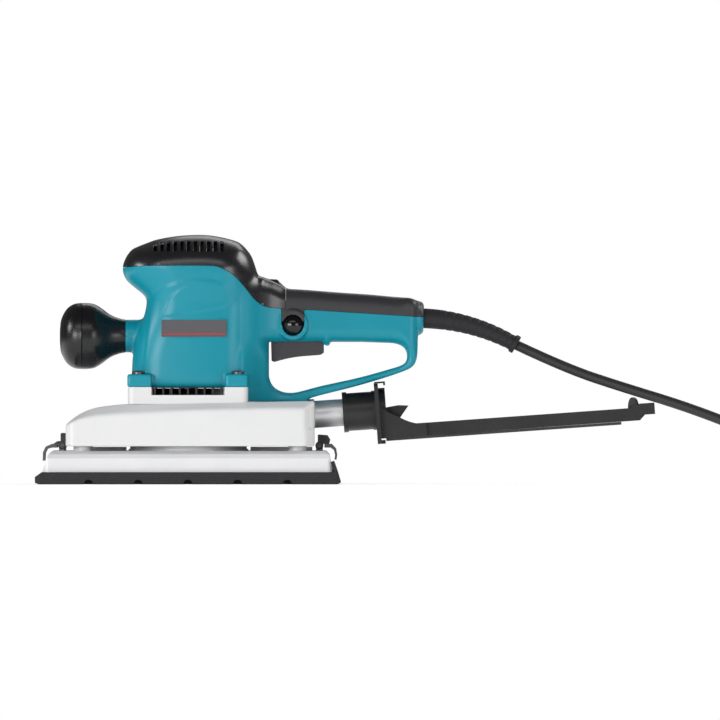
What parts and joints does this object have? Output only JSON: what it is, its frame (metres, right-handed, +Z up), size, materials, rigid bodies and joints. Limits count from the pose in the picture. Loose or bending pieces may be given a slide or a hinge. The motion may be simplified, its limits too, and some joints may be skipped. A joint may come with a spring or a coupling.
{
  "type": "orbital sander",
  "caption": "Half-sheet orbital sander with a rectangular orbiting pad, paper clamps, D-handle with trigger, ball front knob, tube for a paper dust bag and mains cord.",
  "frame": {"origin": "on the plane of the sanding face, under the motor axis", "axes": "+Z up, +X from the front knob towards the cord, +Y to the user's right"},
  "size_m": [0.7598, 0.1298, 0.1873],
  "materials": {
    "shell_teal": "fine satin moulded plastic",
    "cover_black": "polished moulded plastic",
    "grip_black": "fine matt moulded plastic",
    "knob_black": "semi-gloss moulded plastic",
    "badge_grey": "smooth printed plate with one red line",
    "cast_pale": "painted cast aluminium",
    "steel": "brushed",
    "steel_dark": "blackened",
    "iron": "as cast",
    "copper": "enamelled copper wire",
    "brass": "plain",
    "carbon": "pressed carbon",
    "inner_plastic": "moulded plastic",
    "fan_white": "moulded plastic",
    "rubber": "moulded rubber",
    "holder_black": "matt moulded plastic",
    "rail_grey": "smooth moulded plastic",
    "cord_black": "smooth rubber sheath",
    "plug_black": "moulded plastic"
  },
  "bodies": {
    "housing": {"motor_housing": "shell_teal", "top_cover": "cover_black", "handle_cover": "grip_black", "badges": "badge_grey", "base_cover": "cast_pale", "fan_housing": "cast_pale", "fan_baffle": "inner_plastic", "outlet_tube": "steel", "knob_body": "knob_black", "knob_cap": "knob_black", "knob_bolt": "steel", "field_core": "steel", "field_coils": "copper", "lower_bearing": "steel", "upper_bearing": "steel", "bearing_boot": "rubber", "brush_holders": "brass", "carbon_brushes": "carbon", "brush_springs": "steel", "switch_body": "inner_plastic", "speed_controller": "inner_plastic", "capacitor": "inner_plastic", "lead_wires": "cord_black", "switch_springs": "steel", "cord_clamp": "inner_plastic", "clamp_screws": "steel", "cord_guard": "rubber", "housing_screws": "steel_dark", "cover_screws": "steel", "power_cord": "cord_black", "cord_coil": "cord_black", "coil_tie": "inner_plastic", "plug_body": "plug_black", "plug_pins": "brass"},
    "rotor": {"armature_shaft": "steel", "armature_core": "steel", "armature_windings": "copper", "commutator": "brass", "cooling_fan": "fan_white", "counterweight": "iron", "eccentric": "steel"},
    "pad": {"pad_plate": "cast_pale", "backing_pad": "rubber", "bearing_housing": "cast_pale", "pad_bearing": "steel", "pad_feet": "cast_pale", "pad_screws": "steel", "clamp_pins": "steel", "clamp_springs": "steel"},
    "front_clamp": {"front_clamp_jaw": "steel_dark", "front_clamp_lever": "holder_black"},
    "rear_clamp": {"rear_clamp_jaw": "steel_dark", "rear_clamp_lever": "holder_black"},
    "trigger": {"trigger": "grip_black"},
    "lock_button": {"lock_button": "cover_black"},
    "speed_dial": {"speed_dial": "badge_grey"},
    "bag_holder": {"nozzle_cuff": "holder_black", "bag_holder": "holder_black", "holder_rail": "rail_grey", "seal_ring": "holder_black"}
  },
  "joints": [
    {"name": "rotor_spin", "type": "hinge", "parent": "housing", "child": "rotor", "pos_m": [0, 0, 0.08], "axis": [0, 0, 1], "continuous": true},
    {"name": "pad_orbit", "type": "hinge", "parent": "rotor", "child": "pad", "pos_m": [0, 0.0012, 0.035], "axis": [0, 0, 1], "continuous": true},
    {"name": "front_clamp_open", "type": "hinge", "parent": "pad", "child": "front_clamp", "pos_m": [-0.0945, 0.0012, 0.0289], "axis": [0, 1, 0], "range_deg": [0, 32], "stiffness_Nm_per_rad": 0.4, "springref_deg": -28.65},
    {"name": "rear_clamp_open", "type": "hinge", "parent": "pad", "child": "rear_clamp", "pos_m": [0.0983, 0.0012, 0.0289], "axis": [0, -1, 0], "range_deg": [0, 32], "stiffness_Nm_per_rad": 0.4, "springref_deg": -28.65},
    {"name": "trigger_squeeze", "type": "hinge", "parent": "housing", "child": "trigger", "pos_m": [0.0985, 0, 0.1078], "axis": [0, 1, 0], "range_deg": [0, 6.5], "stiffness_Nm_per_rad": 0.8, "springref_deg": -11.46},
    {"name": "lock_button_press", "type": "slide", "parent": "housing", "child": "lock_button", "axis": [0, 1, 0], "range_m": [0, 0.0035], "stiffness_N_per_m": 600, "springref_m": -0.002},
    {"name": "speed_dial_turn", "type": "hinge", "parent": "housing", "child": "speed_dial", "pos_m": [0.0625, 0, 0.1448], "axis": [0, 1, 0], "range_deg": [0, 270]},
    {"name": "bag_holder_slide", "type": "slide", "parent": "housing", "child": "bag_holder", "axis": [0.9976, 0, 0.0698], "range_m": [0, 0.03]}
  ],
  "couplings": [
    {"joint": "pad_orbit", "follows": "rotor_spin", "ratio": -1}
  ]
}
